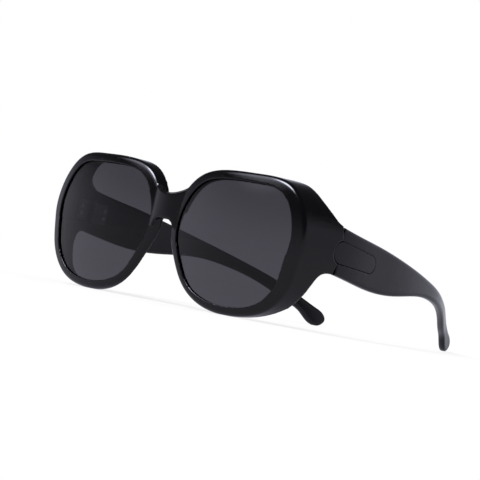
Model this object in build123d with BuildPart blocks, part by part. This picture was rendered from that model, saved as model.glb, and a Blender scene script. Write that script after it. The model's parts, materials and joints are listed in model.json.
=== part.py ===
from build123d import *
import os
from math import atan2, cos, hypot, pi, radians, sin, sqrt

# Fitover sunglasses: a one-piece front with deep side shields, two domed lenses and two temples
# that fold on metal hinges. The pieces are built with the lens openings upright: X to the wearer's
# left, Y back towards the ears, Z up, zero at the foremost level of the rims and at the middle of
# the openings' height. At the end all of them are turned onto the table that they stand on.

# Lens openings and the dome that the rims' front lies on
opening_width = 58.0
opening_height = 49.9
nose_width = 16.4
dome_radius = 105.0
dome_inset = 5.6
dome_rise = 7.9

# Rims, measured outwards from the opening
rim_nasal = 2.9
rim_temporal = 4.0
rim_top = 4.0
rim_bottom = 4.0
rim_depth = 4.2
rim_rounding = 2.2
shield_flare = 4.0
nose_flare = 14.0

# Side shields, with the ear that carries the hinge
seam_level = 28.0
shield_wall = 3.0
nasal_wall = 1.8
shield_step = 9.0
ear_top = 16.1
ear_bottom = -3.6

# Bridge between the rims, bowed forwards in the middle
bridge_level = 4.0
bridge_bow = 2.8
bridge_thickness = 3.4
bridge_top = 16.1
bridge_notch_radius = 12.5
bridge_root = 1.8
bridge_rounding = 0.8
arch_top = 5.1
arch_width = 11.2
arch_corner = 3.6
arch_rounding = 0.4

# Lenses and the groove that they snap into
lens_recess = 0.8
lens_thickness = 1.2
lens_seat = 1.2
lens_clearance = 0.1

# Temples
temple_proud = 0.2
temple_thickness = 3.2
temple_reach = 130.5
temple_bow = 36.4
temple_rounding = 1.1
seam_gap = 0.15

# Hinge: its middle height, the screw that is its pin, and the knuckles that turn on it
hinge_height = 5.6
knuckle_radius = 1.35
knuckle_height = 1.7
knuckle_gap = 0.1
knuckle_count = 5
screw_radius = 0.6
screw_clearance = 0.04
screw_head_radius = 0.95
screw_head_height = 0.5
screw_slot_width = 0.3
screw_slot_depth = 0.25
hinge_clearance = 0.25
leaf_sink = 0.3
leaf_thickness = 0.9
front_leaf_length = 7.6
temple_leaf_length = 9.6
leaf_rounding = 1.0
pocket_clearance = 0.2

# Rivets that hold the leaves
rivet_radius = 0.6
rivet_head_radius = 1.0
rivet_head_height = 0.35
rivet_head_rounding = 0.2
rivet_depth = 0.8
rivet_clearance = 0.02
rivet_spacing = 3.2
rivet_inset = 1.9

# Capsule-shaped cover on the temple, its nose across the seam
cover_length = 27.3
cover_height = 8.8
cover_rear_height = 7.0
cover_nose = 3.4
cover_thickness = 1.0
cover_proud = 0.12
cover_fit = 0.04
notch_gap = 0.35
notch_depth = 1.3

# Flats that the rims and the temple tips stand on
flat_depth = 0.12

overrun = 5.0

# Distance of the opening's edge from its middle, in equal steps from the temple side upwards, as
# shares of half its width and height. The second row is how much further out the shield's rear
# goes, which squares it up to meet the ear.
opening_shares = [0.993, 1.082, 1.158, 1.019, 1.015, 1.102, 1.047, 0.99, 0.934, 0.987, 0.998, 1.022,
                  1.075, 1.019]
squaring_shares = [0.01, 0.05, 0.035, 0.0, 0.0, 0.0, 0.0, 0.0, 0.0, 0.0, 0.0, 0.0, 0.01, 0.02]

# How far the cup widens from the front to the seam in the same steps, as shares of the shield's
# flare, and how far its upper nose side leans over to the nose, as shares of the nose flare.
flare_shares = [1.0, 0.9, 0.65, 0.3, 0.25, 0.25, 0.2, 0.1, 0.0, -0.25, -0.4, -0.4, -0.1, 0.6]
lean_shares = [0.0, 0.0, 0.0, 0.0, 0.3, 1.0, 1.0, 0.4, 0.1, 0.0, 0.0, 0.0, 0.0, 0.0]

# Rear edge of the shield. From above, over and under its step: across from the mirror plane as a
# share of the ear's outer face, back as a share of the seam's level. From the side: back as that
# share, up or down from the ear's edge as a share of the way to the rim's edge.
rear_upper_shares = [(0.0, 0.27), (0.12, 0.28), (0.28, 0.33), (0.5, 0.43), (0.74, 0.58), (0.87, 0.71),
                     (0.92, 0.8), (0.945, 0.92), (0.95, 1.1)]
rear_lower_shares = [(0.0, 0.195), (0.11, 0.205), (0.27, 0.27), (0.5, 0.37), (0.67, 0.45), (0.78, 0.54),
                     (0.86, 0.64), (0.91, 0.74), (0.94, 0.88), (0.95, 1.1)]
rear_top_shares = [(0.58, 1.4), (0.63, 1.0), (0.68, 0.7), (0.76, 0.44), (0.86, 0.2), (0.93, 0.06),
                   (1.0, 0.0)]
rear_bottom_shares = [(1.0, 0.0), (0.89, 0.012), (0.81, 0.05), (0.74, 0.17), (0.68, 0.41), (0.64, 0.62),
                      (0.62, 1.0), (0.61, 1.3)]

# Temple from the side: back as a share of its reach, then its upper and lower edge above the hinge
# as shares of its height at the seam. From above: its outer face inwards as a share of the bow, from
# ahead of the seam, where the cover's nose lies.
temple_side_shares = [(0.0, 0.51, -0.47), (0.1, 0.43, -0.53), (0.2, 0.375, -0.57), (0.31, 0.29, -0.53),
                      (0.41, 0.195, -0.42), (0.52, 0.08, -0.325), (0.62, -0.04, -0.35), (0.71, -0.18, -0.45),
                      (0.8, -0.355, -0.655), (0.85, -0.485, -0.8), (0.9, -0.62, -0.94)]
temple_tip_shares = [(0.955, -0.77), (0.99, -0.89), (1.0, -1.02), (0.992, -1.13), (0.97, -1.205),
                     (0.945, -1.17)]
temple_bow_shares = [(-0.1, 0.05), (0.0, 0.0), (0.2, 0.035), (0.41, 0.12), (0.52, 0.2), (0.62, 0.3),
                     (0.71, 0.44), (0.8, 0.615), (0.9, 0.82), (1.0, 0.98), (1.06, 1.06)]

half_width = opening_width / 2
half_height = opening_height / 2
eye_offset = nose_width / 2 + half_width
dome_offset = eye_offset - dome_inset
bridge_half_width = nose_width / 2 + bridge_root
temple_face = eye_offset + half_width + rim_temporal + shield_flare + temple_proud
rim_top_edge = half_height + rim_top
rim_bottom_edge = -half_height - rim_bottom
ear_height = ear_top - ear_bottom
temple_start = seam_level + seam_gap
rear_level = seam_level + overrun
hinge_face = temple_face - temple_thickness + leaf_sink
leaf_height = knuckle_count * knuckle_height + (knuckle_count - 1) * knuckle_gap
knuckle_reach = knuckle_radius + hinge_clearance
pin_x = hinge_face - knuckle_reach
pin_y = seam_level + seam_gap / 2
front_rivet_level = pin_y - front_leaf_length + rivet_inset
temple_rivet_level = pin_y + temple_leaf_length - rivet_inset


def opening_points(squaring=0.0):
    """Points round the left opening; squaring moves them to the shield's squarer rear outline."""
    points = []
    for i, share in enumerate(opening_shares):
        turn = 2 * pi * i / len(opening_shares)
        reach = share + squaring * squaring_shares[i]
        points.append((eye_offset + half_width * reach * cos(turn), half_height * reach * sin(turn)))
    return points


def grown(points, nasal, temporal, top, bottom, flare=0.0, lean=0.0):
    """The points moved along the outline's normal by a margin that each side sets."""
    moved = []
    for i, (x, z) in enumerate(points):
        ahead = points[(i + 1) % len(points)]
        behind = points[i - 1]
        along = (ahead[0] - behind[0], ahead[1] - behind[1])
        nx = along[1] / hypot(*along)
        nz = -along[0] / hypot(*along)
        margin = nx * nx * (temporal if nx > 0 else nasal) + nz * nz * (top if nz > 0 else bottom)
        margin += flare * flare_shares[i]
        moved.append((x + nx * margin - lean * lean_shares[i], z + nz * margin))
    return moved


def shell_points(level, inset_nasal, inset_other):
    """Outline of the eye cup at one level behind the front, inset by its walls."""
    back = level / seam_level
    return grown(
        opening_points(back),
        rim_nasal - inset_nasal,
        rim_temporal - inset_other,
        rim_top - inset_other,
        rim_bottom - inset_other,
        shield_flare * back,
        nose_flare * back,
    )


def side_plane(x):
    """Plane seen from the wearer's left: its X is back, its Y is up."""
    return Plane.YZ.offset(x)


def front_plane(y):
    """Plane seen from the front: its X is the wearer's left, its Y is up."""
    return Plane.XZ.offset(-y)


def domed_disc(radius, margin):
    """Left opening grown by a margin, from the dome of one radius backwards."""
    with BuildPart() as disc:
        with BuildSketch(front_plane(0.0)):
            with BuildLine():
                Spline(*grown(opening_points(), margin, margin, margin, margin), periodic=True)
            make_face()
        extrude(amount=-rear_level)
        with Locations((dome_offset, dome_radius, dome_rise)):
            Sphere(radius, mode=Mode.INTERSECT)
    return disc.part


def lens_shape(clearance):
    """Left lens, or the groove that holds it when a clearance is given."""
    front = domed_disc(dome_radius - lens_recess + clearance, lens_seat + clearance)
    back = domed_disc(dome_radius - lens_recess - lens_thickness - clearance, lens_seat + overrun)
    return front - back


def band_line(outwards):
    """Line along the temple seen from above, moved off its outer face."""
    centre = [(temple_face - temple_bow * inward, temple_start + temple_reach * back)
              for back, inward in temple_bow_shares]
    points = []
    for i, (x, y) in enumerate(centre):
        behind = centre[max(i - 1, 0)]
        ahead = centre[min(i + 1, len(centre) - 1)]
        heading = atan2(behind[0] - ahead[0], ahead[1] - behind[1])
        points.append((x + outwards * cos(heading), y + outwards * sin(heading)))
    return points


def temple_band(inner, outer):
    """Strip along the temple between two distances from its outer face, as tall as needed."""
    with BuildPart() as strip:
        with BuildSketch(Plane.XY):
            with BuildLine():
                near = band_line(outer)
                far = band_line(inner)
                Spline(*near)
                Spline(*far)
                Line(near[0], far[0])
                Line(near[-1], far[-1])
            make_face()
        extrude(amount=temple_reach, both=True)
    return strip.part


def cover_shape(clearance, inner, outer):
    """Tapered capsule on the temple, between two distances from the temple's outer face."""
    nose_end = seam_level - cover_nose
    with BuildPart() as capsule:
        with BuildSketch(side_plane(pin_x)):
            with Locations((nose_end + cover_height / 2, hinge_height)):
                Circle(cover_height / 2 + clearance)
            with Locations((nose_end + cover_length - cover_rear_height / 2,
                            hinge_height - (cover_height - cover_rear_height) / 2)):
                Circle(cover_rear_height / 2 + clearance)
            make_hull()
        extrude(amount=temple_face - pin_x + overrun)
        add(temple_band(inner, outer), mode=Mode.INTERSECT)
    return capsule.part


def rivet_bars(level, radius, inner, outer):
    """Two round bars across a leaf, between two distances outwards from the leaf's seat."""
    with BuildPart() as bars:
        with BuildSketch(side_plane(hinge_face + inner)):
            for side in (-1, 1):
                with Locations((level, hinge_height + side * rivet_spacing / 2)):
                    Circle(radius)
        extrude(amount=outer - inner)
    return bars.part


def rivet_pair(level):
    """The two rivets of one leaf, heads inside."""
    with BuildPart() as pair:
        add(rivet_bars(level, rivet_head_radius, -leaf_thickness - rivet_head_height, -leaf_thickness))
        fillet(edges().group_by(Axis.X)[0], rivet_head_rounding)
        add(rivet_bars(level, rivet_radius, -leaf_thickness, rivet_depth))
    return pair.part


def rivet_holes(level):
    """Holes for the two rivets of one leaf, in the leaf and in the plastic."""
    return rivet_bars(level, rivet_radius + rivet_clearance, -leaf_thickness - overrun,
                      rivet_depth + rivet_clearance)


def knuckle_foot(number):
    """Lower face of one knuckle, counted from the bottom."""
    return hinge_height - leaf_height / 2 + number * (knuckle_height + knuckle_gap)


def hinge_leaf(length, toward, numbers):
    """Leaf on one side of the pin with the knuckles that it carries; toward is 1 to the back."""
    near = pin_y + toward * knuckle_reach
    far = pin_y + toward * length
    with BuildPart() as leaf:
        with BuildSketch(side_plane(hinge_face)):
            with Locations(((near + far) / 2, hinge_height)):
                Rectangle(length - knuckle_reach, leaf_height)
            ends = vertices().group_by(Axis.X)
            fillet(ends[-1] if toward > 0 else ends[0], leaf_rounding)
            for number in numbers:
                middle = knuckle_foot(number) + knuckle_height / 2
                with Locations((pin_y + toward * knuckle_reach / 2, middle)):
                    Rectangle(knuckle_reach, knuckle_height)
        extrude(amount=-leaf_thickness)
        for number in numbers:
            with BuildSketch(Plane.XY.offset(knuckle_foot(number))):
                with Locations((pin_x, pin_y)):
                    Circle(knuckle_radius)
            extrude(amount=knuckle_height)
        with BuildSketch(Plane.XY.offset(knuckle_foot(0))):
            with Locations((pin_x, pin_y)):
                Circle(screw_radius + screw_clearance)
        extrude(amount=leaf_height, mode=Mode.SUBTRACT)
        with BuildSketch(Plane.XY.offset(knuckle_foot(0) + leaf_height - screw_head_height)):
            with Locations((pin_x, pin_y)):
                Circle(screw_head_radius + screw_clearance)
        extrude(amount=overrun, mode=Mode.SUBTRACT)
        add(rivet_holes(pin_y + toward * (length - rivet_inset)), mode=Mode.SUBTRACT)
    return leaf.part


# Eye cup: rim and shield of the left side as one solid, before it is hollowed
with BuildPart() as cup_outside:
    for level in (0.0, rear_level):
        with BuildSketch(front_plane(level)):
            with BuildLine():
                Spline(*shell_points(level, 0.0, 0.0), periodic=True)
            make_face()
    loft(ruled=True)
    with Locations((dome_offset, dome_radius, dome_rise)):
        Sphere(dome_radius, mode=Mode.INTERSECT)
    fillet(edges().sort_by(Axis.Y)[0], rim_rounding)

# What the cup is hollowed with: the space behind the rim
with BuildPart() as cup_inside:
    for level in (0.0, rear_level):
        with BuildSketch(front_plane(level)):
            with BuildLine():
                Spline(*shell_points(level, nasal_wall, shield_wall), periodic=True)
            make_face()
    loft(ruled=True)
    with Locations((dome_offset, dome_radius, dome_rise)):
        Sphere(dome_radius - rim_depth, mode=Mode.INTERSECT)

# The opening, through the rim
with BuildPart() as eye_opening:
    with BuildSketch(front_plane(-overrun)):
        with BuildLine():
            Spline(*opening_points(), periodic=True)
        make_face()
    extrude(amount=-rear_level)

# Rear edge of both shields, seen from above and from the side
with BuildPart() as rear_trim:
    for shares, low, high in ((rear_upper_shares, shield_step, rim_top_edge + overrun),
                              (rear_lower_shares, rim_bottom_edge - overrun, shield_step)):
        with BuildSketch(Plane.XY.offset(low)):
            with BuildLine():
                edge = [(temple_face * across, seam_level * back) for across, back in shares]
                Spline(*edge, tangents=[(1, 0), (0, 1)])
                Polyline(edge[-1], (temple_face + overrun, edge[-1][1]), (temple_face + overrun, -overrun),
                         (0, -overrun), edge[0])
            make_face()
        extrude(amount=high - low)
    mirror(about=Plane.YZ)
    with BuildSketch(side_plane(0.0)):
        with BuildLine():
            upper = [(seam_level * back, ear_top + (rim_top_edge - ear_top) * up)
                     for back, up in rear_top_shares]
            lower = [(seam_level * back, ear_bottom + (rim_bottom_edge - ear_bottom) * down)
                     for back, down in rear_bottom_shares]
            Spline(*upper)
            Spline(*lower)
            Line(upper[-1], lower[0])
            Polyline(upper[0], (-overrun, upper[0][1]), (-overrun, lower[-1][1]), lower[-1])
        make_face()
    extrude(amount=temple_face + overrun, both=True, mode=Mode.INTERSECT)

# Bridge: a bar that bows forwards, with a notch on top and a low arch for the nose below
with BuildPart() as bridge:
    notch_rise = bridge_notch_radius - sqrt(bridge_notch_radius ** 2 - bridge_half_width ** 2)
    with BuildSketch(front_plane(bridge_level - bridge_bow)):
        with Locations((0, (bridge_top + notch_rise + arch_top - arch_corner) / 2)):
            Rectangle(bridge_half_width * 2, bridge_top + notch_rise - arch_top + arch_corner)
        with Locations((0, bridge_top + bridge_notch_radius)):
            Circle(bridge_notch_radius, mode=Mode.SUBTRACT)
        with Locations((0, arch_top - arch_width / 2)):
            RectangleRounded(arch_width, arch_width, arch_corner, mode=Mode.SUBTRACT)
    extrude(amount=-bridge_bow - bridge_thickness)
    with BuildSketch(Plane.XY.offset(arch_top - arch_corner)):
        with BuildLine():
            for level in (bridge_level, bridge_level + bridge_thickness):
                ThreePointArc((-bridge_half_width, level), (0, level - bridge_bow),
                              (bridge_half_width, level))
            for side in (-1, 1):
                Line((side * bridge_half_width, bridge_level),
                     (side * bridge_half_width, bridge_level + bridge_thickness))
        make_face()
    extrude(amount=rim_top_edge, mode=Mode.INTERSECT)
    front_edges = faces().sort_by(Axis.Y)[0].edges()
    middle_edges = front_edges.filter_by(lambda edge: abs(edge.center().X) < arch_width / 2)
    fillet(middle_edges.sort_by(Axis.Z)[:-1], arch_rounding)
    fillet(edges().sort_by_distance((0, bridge_level - bridge_bow, bridge_top))[0], bridge_rounding)

# Pocket in the shield and the temple that both leaves of the hinge lie in
with BuildPart() as leaf_pocket:
    with BuildSketch(side_plane(hinge_face)):
        with Locations((pin_y + (temple_leaf_length - front_leaf_length) / 2, hinge_height)):
            RectangleRounded(front_leaf_length + temple_leaf_length + pocket_clearance * 2,
                             leaf_height + pocket_clearance * 2, leaf_rounding)
    extrude(amount=-overrun)

# Front: both cups and the bridge in one moulding
with BuildPart() as front_frame:
    add(cup_outside.part)
    mirror(about=Plane.YZ)
    add(bridge.part)
    for cut in (cup_inside.part, eye_opening.part, lens_shape(lens_clearance), leaf_pocket.part,
                cover_shape(notch_gap, -notch_depth, overrun), rivet_holes(front_rivet_level)):
        add(cut, mode=Mode.SUBTRACT)
        add(mirror(cut, about=Plane.YZ, mode=Mode.PRIVATE), mode=Mode.SUBTRACT)
    add(rear_trim.part, mode=Mode.INTERSECT)

# Temple: its side view cut from a band that bows inwards
with BuildPart() as temple:
    with BuildSketch(side_plane(0.0)):
        with BuildLine():
            top = [(temple_start + temple_reach * back, hinge_height + ear_height * high)
                   for back, high, low in temple_side_shares]
            bottom = [(temple_start + temple_reach * back, hinge_height + ear_height * low)
                      for back, high, low in temple_side_shares]
            tip = [(temple_start + temple_reach * back, hinge_height + ear_height * high)
                   for back, high in temple_tip_shares]
            Spline(*(top + tip + bottom[::-1]))
            Line(bottom[0], top[0])
        make_face()
    extrude(amount=temple_face + overrun)
    add(temple_band(-temple_thickness, 0.0), mode=Mode.INTERSECT)
    fillet(edges().filter_by(lambda edge: edge.center().Y > rear_level), temple_rounding)
    add(cover_shape(cover_fit, -cover_thickness - cover_fit, overrun), mode=Mode.SUBTRACT)
    add(leaf_pocket.part, mode=Mode.SUBTRACT)
    add(rivet_holes(temple_rivet_level), mode=Mode.SUBTRACT)

# Hinge screw, its slotted head let into the top knuckle
with BuildPart() as hinge_screw:
    with BuildSketch(Plane.XY.offset(knuckle_foot(0))):
        with Locations((pin_x, pin_y)):
            Circle(screw_radius)
    extrude(amount=leaf_height)
    with BuildSketch(Plane.XY.offset(knuckle_foot(0) + leaf_height - screw_head_height)):
        with Locations((pin_x, pin_y)):
            Circle(screw_head_radius)
    extrude(amount=screw_head_height)
    with BuildSketch(Plane.XY.offset(knuckle_foot(0) + leaf_height - screw_slot_depth)):
        with Locations((pin_x, pin_y)):
            Rectangle(screw_head_radius * 2 + overrun, screw_slot_width)
    extrude(amount=overrun, mode=Mode.SUBTRACT)

# Table that the rims and the temples' tips stand on: it is sloped until both are equally low
slope = 0.0
for attempt in range(4):
    table = Plane(origin=(0, 0, 0), x_dir=(1, 0, 0), z_dir=(0, -sin(slope), cos(slope)))
    rims = table.to_local_coords(front_frame.part).bounding_box()
    tips = table.to_local_coords(temple.part).bounding_box()
    slope += atan2(tips.min.Z - rims.min.Z, tips.max.Y)
foremost = table.to_local_coords(lens_shape(0.0)).bounding_box().min.Y
table_middle = (0, (foremost + tips.max.Y) / 2, rims.min.Z + flat_depth)
table = Plane(origin=table.from_local_coords(table_middle), x_dir=(1, 0, 0), z_dir=table.z_dir)


def placed(shape):
    """The piece on the table."""
    return table.to_local_coords(shape)


def standing(shape):
    """The piece on the table, with a flat where it meets it."""
    return split(placed(shape), bisect_by=Plane.XY, keep=Keep.TOP)


# Every piece; the right side mirrors the left
left_pieces = {
    "lens": placed(lens_shape(0.0)),
    "temple": standing(temple.part),
    "hinge_cover": placed(cover_shape(0.0, -cover_thickness, cover_proud)),
    "front_leaf": placed(hinge_leaf(front_leaf_length, -1, range(0, knuckle_count, 2))),
    "temple_leaf": placed(hinge_leaf(temple_leaf_length, 1, range(1, knuckle_count, 2))),
    "hinge_screw": placed(hinge_screw.part),
    "front_leaf_rivets": placed(rivet_pair(front_rivet_level)),
    "temple_leaf_rivets": placed(rivet_pair(temple_rivet_level)),
}
pieces = {"front_frame": standing(front_frame.part)}
for name, shape in left_pieces.items():
    pieces[name + "_left"] = shape
    pieces[name + "_right"] = mirror(shape, about=Plane.YZ, mode=Mode.PRIVATE)

os.makedirs("parts", exist_ok=True)
for name, shape in pieces.items():
    shape.label = name
    export_step(shape, "parts/" + name + ".step")
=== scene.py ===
import json
import math

import bmesh
import bpy
from mathutils import Matrix, Vector

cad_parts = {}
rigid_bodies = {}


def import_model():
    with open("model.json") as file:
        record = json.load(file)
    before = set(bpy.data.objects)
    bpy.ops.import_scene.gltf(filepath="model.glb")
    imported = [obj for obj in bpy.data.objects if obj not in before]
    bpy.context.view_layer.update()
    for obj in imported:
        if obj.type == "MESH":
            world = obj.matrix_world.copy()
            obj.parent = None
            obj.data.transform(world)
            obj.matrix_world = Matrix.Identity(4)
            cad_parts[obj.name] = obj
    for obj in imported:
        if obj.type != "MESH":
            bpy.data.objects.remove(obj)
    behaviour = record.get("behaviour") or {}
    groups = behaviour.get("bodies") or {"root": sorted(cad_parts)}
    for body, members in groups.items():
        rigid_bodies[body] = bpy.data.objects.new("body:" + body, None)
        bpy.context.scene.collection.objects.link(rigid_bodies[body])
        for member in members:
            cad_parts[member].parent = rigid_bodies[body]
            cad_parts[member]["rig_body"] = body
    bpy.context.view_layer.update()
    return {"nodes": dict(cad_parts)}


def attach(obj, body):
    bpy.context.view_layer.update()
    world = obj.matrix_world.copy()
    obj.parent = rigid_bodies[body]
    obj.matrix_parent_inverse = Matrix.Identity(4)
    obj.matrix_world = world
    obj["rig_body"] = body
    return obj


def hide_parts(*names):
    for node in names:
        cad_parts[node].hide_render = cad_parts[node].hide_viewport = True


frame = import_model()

MM = 0.001


# Materials

# The plastic's flow waves, its polishing grain and the wipe marks of handling. The real grain is finer;
# it is drawn this coarse to show.
FLOW_LENGTH = 6 * MM
POLISH_GRAIN = 0.4 * MM
WIPE_LENGTH = 14 * MM
# How much rougher the plastic is where it was wiped
WIPED_ROUGHER = 1.9
# The marks that tumbling leaves on the steel, also drawn coarser than they are
TUMBLE_MARK = 0.5 * MM
# The steel's roughness runs between these shares of its mean
SMOOTHEST, ROUGHEST = 0.7, 1.4
# The heights between which the lenses turn darker towards the top
LENS_FOOT = 4 * MM
LENS_CROWN = 54 * MM
PLAIN_WHITE = "#FFFFFF"
COOL_WHITE = "#EDEEFF"


def srgb(text):
    """Linear colour of an sRGB hex value."""
    values = [int(text[i:i + 2], 16) / 255 for i in (1, 3, 5)]
    linear = [v / 12.92 if v <= 0.04045 else ((v + 0.055) / 1.055) ** 2.4 for v in values]
    return (*linear, 1.0)


def add(tree, kind, settings=None, links=None):
    """A node with its settings and its links; a link's source is a socket or a node's first output."""
    node = tree.nodes.new(kind)
    for name, value in (settings or {}).items():
        if isinstance(name, str) and hasattr(node, name):
            setattr(node, name, value)
        else:
            node.inputs[name].default_value = value
    for name, source in (links or {}).items():
        tree.links.new(getattr(source, "outputs", [source])[0], node.inputs[name])
    return node


def material(name):
    """An empty material and its tree."""
    made = bpy.data.materials.new(name)
    made.use_nodes = True
    made.node_tree.nodes.clear()
    return made, made.node_tree


def polished_plastic(name, colour, tint, roughness):
    """Injection-moulded black polycarbonate, polished by its mould: a deep black with a clear gloss,
    broken a little by long flow waves, a fine grain and the odd wipe mark."""
    made, tree = material(name)
    place = add(tree, "ShaderNodeTexCoord").outputs["Object"]
    flow = add(tree, "ShaderNodeTexNoise", {"Scale": 1 / FLOW_LENGTH, "Detail": 2.0}, {"Vector": place})
    grain = add(tree, "ShaderNodeTexNoise", {"Scale": 1 / POLISH_GRAIN, "Detail": 3.0}, {"Vector": place})
    wipes = add(tree, "ShaderNodeTexNoise",
                {"Scale": 1 / WIPE_LENGTH, "Detail": 4.0, "Distortion": 1.5}, {"Vector": place})
    shade = add(tree, "ShaderNodeMix", {"data_type": "RGBA", 6: srgb(colour), 7: srgb(tint)}, {0: flow})
    rough = add(tree, "ShaderNodeMapRange",
                {"From Min": 0.35, "From Max": 0.75, "To Min": roughness,
                 "To Max": roughness * WIPED_ROUGHER}, {"Value": wipes})
    waves = add(tree, "ShaderNodeBump", {"Strength": 0.03, "Distance": 0.3 * MM}, {"Height": flow})
    pits = add(tree, "ShaderNodeBump", {"Strength": 0.012, "Distance": 0.02 * MM},
               {"Height": grain, "Normal": waves})
    shader = add(tree, "ShaderNodeBsdfPrincipled", {"IOR": 1.5, "Specular IOR Level": 0.3},
                 {"Base Color": shade.outputs[2], "Roughness": rough, "Normal": pits})
    add(tree, "ShaderNodeOutputMaterial", None, {"Surface": shader})
    return made


def smoked_lens(name):
    """Smoke-tinted polycarbonate lens, a little darker towards its top; the low IOR stands for its
    coat, which keeps it from mirroring."""
    made, tree = material(name)
    place = add(tree, "ShaderNodeTexCoord").outputs["Object"]
    split = add(tree, "ShaderNodeSeparateXYZ", None, {0: place})
    fade = add(tree, "ShaderNodeMapRange", {"From Min": LENS_FOOT, "From Max": LENS_CROWN},
               {"Value": split.outputs["Z"]})
    # The lens colour goes from lighter at the foot to darker at the crown
    lens_tone = add(tree, "ShaderNodeMix", {"data_type": "RGBA", 6: srgb("#4D4B4D"), 7: srgb("#444244")},
              {0: fade})
    shader = add(tree, "ShaderNodeBsdfPrincipled",
                 {"IOR": 1.3, "Roughness": 0.0, "Transmission Weight": 1.0},
                 {"Base Color": lens_tone.outputs[2]})
    add(tree, "ShaderNodeOutputMaterial", None, {"Surface": shader})
    return made


def tumbled_steel(name, colour, roughness):
    """Stainless steel, stamped or turned and then tumbled: grey metal with a soft, uneven sheen."""
    made, tree = material(name)
    place = add(tree, "ShaderNodeTexCoord").outputs["Object"]
    marks = add(tree, "ShaderNodeTexNoise", {"Scale": 1 / TUMBLE_MARK, "Detail": 4.0}, {"Vector": place})
    rough = add(tree, "ShaderNodeMapRange",
                {"To Min": roughness * SMOOTHEST, "To Max": roughness * ROUGHEST}, {"Value": marks})
    dents = add(tree, "ShaderNodeBump", {"Strength": 0.1, "Distance": 0.05 * MM}, {"Height": marks})
    shader = add(tree, "ShaderNodeBsdfPrincipled", {"Base Color": srgb(colour), "Metallic": 1.0},
                 {"Roughness": rough, "Normal": dents})
    add(tree, "ShaderNodeOutputMaterial", None, {"Surface": shader})
    return made


front_plastic = polished_plastic("Polished black polycarbonate",
                                 colour="#060607", tint="#08080A", roughness=0.1)
temple_plastic = polished_plastic("Polished black polycarbonate, temples",
                                  colour="#070709", tint="#0A0A0E", roughness=0.13)
lens_plastic = smoked_lens("Smoke-tinted polycarbonate lens")
leaf_steel = tumbled_steel("Tumbled stainless steel leaf", colour="#6A6A6E", roughness=0.4)
rivet_steel = tumbled_steel("Turned steel screw and rivet", colour="#A8A8AC", roughness=0.25)

for name, node in frame["nodes"].items():
    if name.startswith("lens"):
        finish = lens_plastic
    elif "rivets" in name or "screw" in name:
        finish = rivet_steel
    elif "leaf" in name:
        finish = leaf_steel
    elif name == "front_frame":
        finish = front_plastic
    else:
        finish = temple_plastic
    node.data.materials.clear()
    node.data.materials.append(finish)


# Moulded pieces: the plastic has no sharp edge where its mould parts or its pockets begin

WELD = 0.001 * MM


def moulded(name, node, finish, cell, rounds, kept):
    """A copy of a solid with every edge eased, as a mould leaves it. It is rebuilt in cells of this
    width in mm, smoothed in so many rounds, and keeps this share of its triangles."""
    solid = frame["nodes"][node]
    copy = bmesh.new()
    copy.from_mesh(solid.data)
    bmesh.ops.remove_doubles(copy, verts=copy.verts, dist=WELD)
    mesh = bpy.data.meshes.new(name)
    copy.to_mesh(mesh)
    copy.free()
    made = bpy.data.objects.new(name, mesh)
    bpy.context.scene.collection.objects.link(made)
    cells = made.modifiers.new("cells", "REMESH")
    cells.mode = "VOXEL"
    cells.voxel_size = cell * MM
    ease = made.modifiers.new("ease", "SMOOTH")
    ease.factor = 0.5
    ease.iterations = rounds
    thin = made.modifiers.new("thin", "DECIMATE")
    thin.ratio = kept
    bpy.context.view_layer.update()
    shown = made.evaluated_get(bpy.context.evaluated_depsgraph_get())
    eased = bpy.data.meshes.new_from_object(shown)
    made.modifiers.clear()
    made.data = eased
    eased.name = name
    eased.materials.clear()
    eased.materials.append(finish)
    for face in eased.polygons:
        face.use_smooth = True
    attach(made, solid["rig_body"])
    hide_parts(node)


moulded("moulded_front", "front_frame", front_plastic, cell=0.28, rounds=14, kept=0.48)
for side in ("left", "right"):
    moulded("moulded_temple_" + side, "temple_" + side, temple_plastic,
            cell=0.25, rounds=14, kept=0.9)
    moulded("moulded_cover_" + side, "hinge_cover_" + side, temple_plastic,
            cell=0.12, rounds=4, kept=0.5)


# Floor

FLOOR_REACH = 3.0
# What a ray sees of the paper: its own white takes this share, in this tint, at this strength
PAPER_BY_RAY = (
    ("Is Camera Ray", 0.7, PLAIN_WHITE, 1.06),
    ("Is Glossy Ray", 0.85, COOL_WHITE, 0.7),
    ("Is Transmission Ray", 0.9, COOL_WHITE, 1.0),
)


def pale_paper(name, colour):
    """Matt white paper: white to the camera and through a lens, and a dimmer sheet in the gloss. The
    rest of each is the lit paper, which keeps the shadow."""
    made, tree = material(name)
    path = add(tree, "ShaderNodeLightPath")
    shown = add(tree, "ShaderNodeBsdfDiffuse", {"Color": srgb(colour)})
    for ray, share, tint, strength in PAPER_BY_RAY:
        amount = add(tree, "ShaderNodeMath", {"operation": "MULTIPLY", 1: share}, {0: path.outputs[ray]})
        white = add(tree, "ShaderNodeEmission", {"Color": srgb(tint), "Strength": strength})
        shown = add(tree, "ShaderNodeMixShader", None, {0: amount, 1: shown, 2: white})
    add(tree, "ShaderNodeOutputMaterial", None, {"Surface": shown})
    return made


def floor(name, reach, finish):
    """A level sheet at the height of the rims' and temples' feet."""
    corners = [(-reach, -reach, 0), (reach, -reach, 0), (reach, reach, 0), (-reach, reach, 0)]
    mesh = bpy.data.meshes.new(name)
    mesh.from_pydata(corners, [], [(0, 1, 2, 3)])
    mesh.materials.append(finish)
    made = bpy.data.objects.new(name, mesh)
    bpy.context.scene.collection.objects.link(made)


floor("floor", FLOOR_REACH, pale_paper("Pale paper", "#F2F2F4"))


# Studio

# Walls and ceiling meet softly between two heights, from 0 at the horizon to 1 overhead. The ceiling
# hangs lower in front and on the right lens's side, by these shares of how far a ray points there.
WALL_END, CEILING_START = 0.36, 0.66
WALL_GLOW, CEILING_GLOW = 0.7, 0.1
CEILING_DROPS = (((0.53, -0.85, 0.0), 0.35), ((-1.0, -0.1, 0.0), 0.3))
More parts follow.
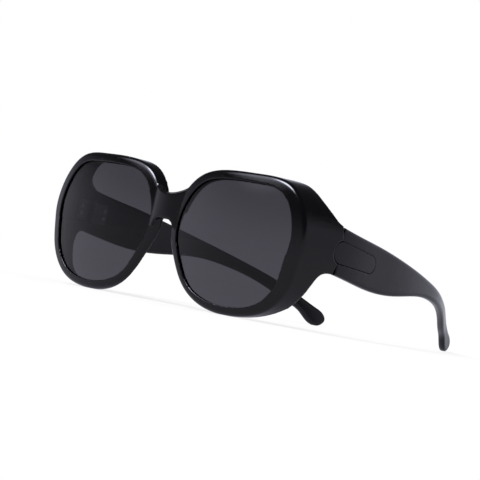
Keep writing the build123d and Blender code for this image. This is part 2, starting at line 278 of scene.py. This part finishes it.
# What the room gives to matt surfaces
ROOM_FILL = 0.5
# Soft-edged lamp cloths: bearing and height of the centre, where the cloth is full and where it ends,
# all in degrees, and its glow
LAMP_CLOTHS = (
    # the long soft band on the tops of the rims
    ((-122, 46), (8, 27), 5),
    # the bright streak that ends at the left rim's outer corner
    ((-101, 54), (6, 17), 34),
    # the sheen that grows along the left temple towards its bend
    ((96, 2), (5, 45), 0.6),
)


def bearing(turn, height):
    """Unit vector towards a bearing and a height in degrees."""
    turn, height = math.radians(turn), math.radians(height)
    level = math.cos(height)
    return Vector((math.cos(turn) * level, math.sin(turn) * level, math.sin(height)))


def lamp_cloth(tree, direction, centre, reach, glow):
    """A diffusing cloth in the reflections, full to the first angle and gone at the second."""
    full, gone = (math.cos(math.radians(angle)) for angle in reach)
    toward = add(tree, "ShaderNodeVectorMath", {"operation": "DOT_PRODUCT", 1: bearing(*centre)},
                 {0: direction})
    return add(tree, "ShaderNodeMapRange",
               {"From Min": gone, "From Max": full, "To Min": 0.0, "To Max": glow,
                "interpolation_type": "SMOOTHSTEP"}, {"Value": toward.outputs["Value"]})


def studio(name):
    """White background; in the gloss pale walls, a dark ceiling and the lamp cloths."""
    made = bpy.data.worlds.new(name)
    bpy.context.scene.world = made
    made.use_nodes = True
    made.node_tree.nodes.clear()
    tree = made.node_tree
    direction = add(tree, "ShaderNodeTexCoord").outputs["Generated"]
    height = add(tree, "ShaderNodeSeparateXYZ", None, {0: direction}).outputs["Z"]
    for side, drop in CEILING_DROPS:
        toward = add(tree, "ShaderNodeVectorMath", {"operation": "DOT_PRODUCT", 1: side}, {0: direction})
        facing = add(tree, "ShaderNodeMath", {"operation": "MAXIMUM", 1: 0.0},
                     {0: toward.outputs["Value"]})
        height = add(tree, "ShaderNodeMath", {"operation": "MULTIPLY_ADD", 1: drop},
                     {0: facing, 2: height})
    room = add(tree, "ShaderNodeMapRange",
               {"From Min": WALL_END, "From Max": CEILING_START, "To Min": WALL_GLOW,
                "To Max": CEILING_GLOW, "interpolation_type": "SMOOTHSTEP"}, {"Value": height})
    for centre, reach, glow in LAMP_CLOTHS:
        cloth = lamp_cloth(tree, direction, centre, reach, glow)
        room = add(tree, "ShaderNodeMath", {"operation": "ADD"}, {0: room, 1: cloth})
    ray = add(tree, "ShaderNodeLightPath").outputs
    mirrored = add(tree, "ShaderNodeMath", {"operation": "MULTIPLY"}, {0: room, 1: ray["Is Glossy Ray"]})
    seen = add(tree, "ShaderNodeMath", {"operation": "ADD"},
               {0: ray["Is Camera Ray"], 1: ray["Is Transmission Ray"]})
    shown = add(tree, "ShaderNodeMath", {"operation": "MAXIMUM"}, {0: mirrored, 1: seen})
    strength = add(tree, "ShaderNodeMath", {"operation": "MULTIPLY_ADD", 1: ROOM_FILL},
                   {0: ray["Is Diffuse Ray"], 2: shown})
    tone = add(tree, "ShaderNodeMix", {"data_type": "RGBA", 6: srgb(PLAIN_WHITE), 7: srgb(COOL_WHITE)},
               {0: ray["Is Glossy Ray"]})
    sky = add(tree, "ShaderNodeBackground", None, {"Color": tone.outputs[2], "Strength": strength})
    add(tree, "ShaderNodeOutputWorld", None, {"Surface": sky})


studio("Studio")

# A broad lamp high in front gives the soft shadow. In the gloss its cloths stand for it.
LAMP_PLACE = (-118, 60)
LAMP_SPREAD = 35
lamp_data = bpy.data.lights.new("broad lamp", "SUN")
lamp_data.energy = 1.8
lamp_data.angle = math.radians(LAMP_SPREAD)
lamp = bpy.data.objects.new("broad lamp", lamp_data)
bpy.context.scene.collection.objects.link(lamp)
lamp.matrix_world = (-bearing(*LAMP_PLACE)).to_track_quat("-Z", "Y").to_matrix().to_4x4()
lamp.visible_glossy = False

# The camera stands where the photograph was taken from: 0.84 m from the front, just above the floor,
# and rolled 13 degrees. The matrix has its right, up and back directions and its place as columns.
camera_data = bpy.data.cameras.new("camera")
camera_data.sensor_width = 36.0
camera_data.lens = 154.36
camera_data.clip_start = 0.01
camera = bpy.data.objects.new("camera", camera_data)
bpy.context.scene.collection.objects.link(camera)
camera.matrix_world = Matrix((
    (0.72178140, -0.12019239, 0.68160501, 0.59538248),
    (0.66791790, -0.13719510, -0.73148013, -0.66795549),
    (0.18143121, 0.98322495, -0.01874622, 0.01510326),
    (0.0, 0.0, 0.0, 1.0),
))
bpy.context.scene.camera = camera
bpy.context.scene.view_settings.view_transform = "Standard"
